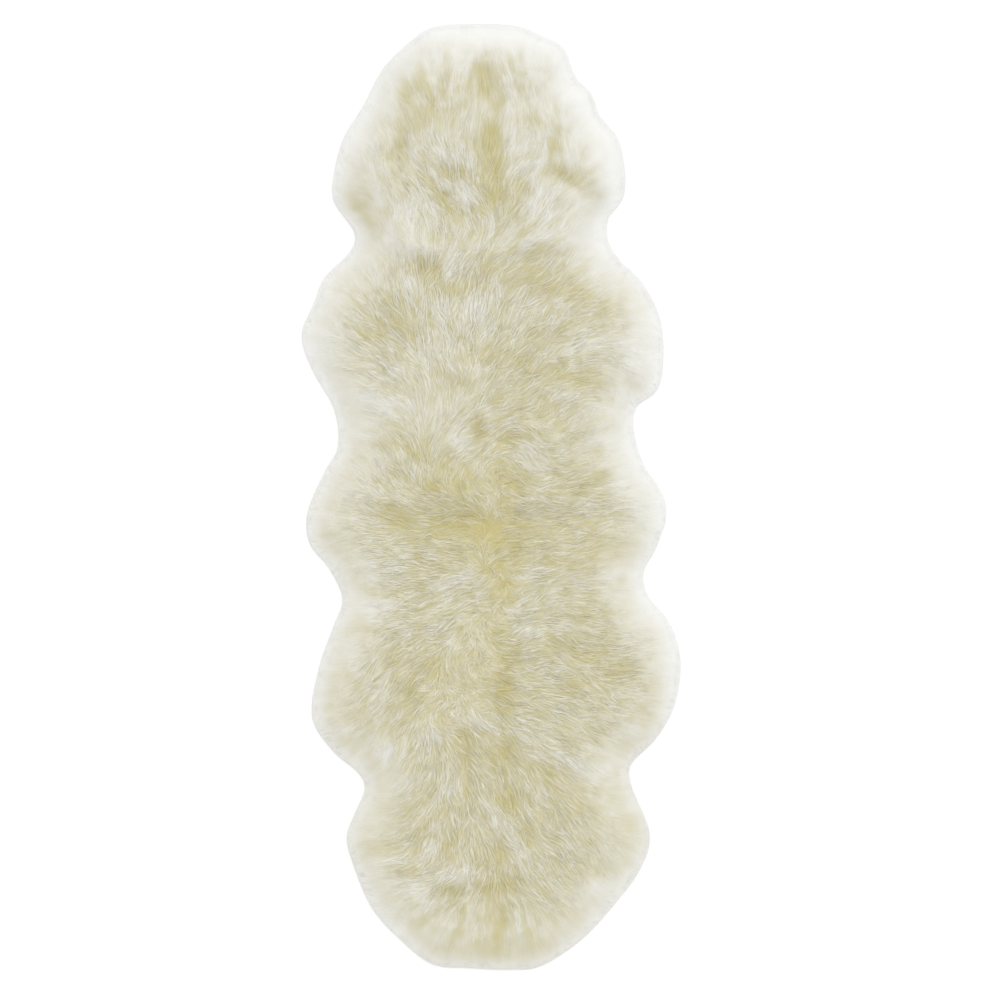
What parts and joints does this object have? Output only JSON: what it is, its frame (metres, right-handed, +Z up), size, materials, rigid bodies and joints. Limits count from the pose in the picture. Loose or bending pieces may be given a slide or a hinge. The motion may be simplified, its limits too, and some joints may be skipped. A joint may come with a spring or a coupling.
{
  "type": "sheepskin rug",
  "caption": "Long natural sheepskin rug of joined pelts with lobed edges and deep ivory wool, laid flat with its tanned hides on the floor.",
  "frame": {"origin": "middle of the rug's box, at the floor it lies on", "axes": "+Z up out of the wool, +Y along the rug's length towards its narrower head end, +X across it"},
  "size_m": [0.719, 1.7994, 0.058],
  "materials": {
    "hide": "soft tanned suede, cream",
    "wool": "long soft ivory wool with a slight sheen"
  },
  "bodies": {
    "root": {"hide_head_end": "hide", "hide_foot_end": "hide", "wool_head_end": "wool", "wool_foot_end": "wool"}
  },
  "joints": []
}
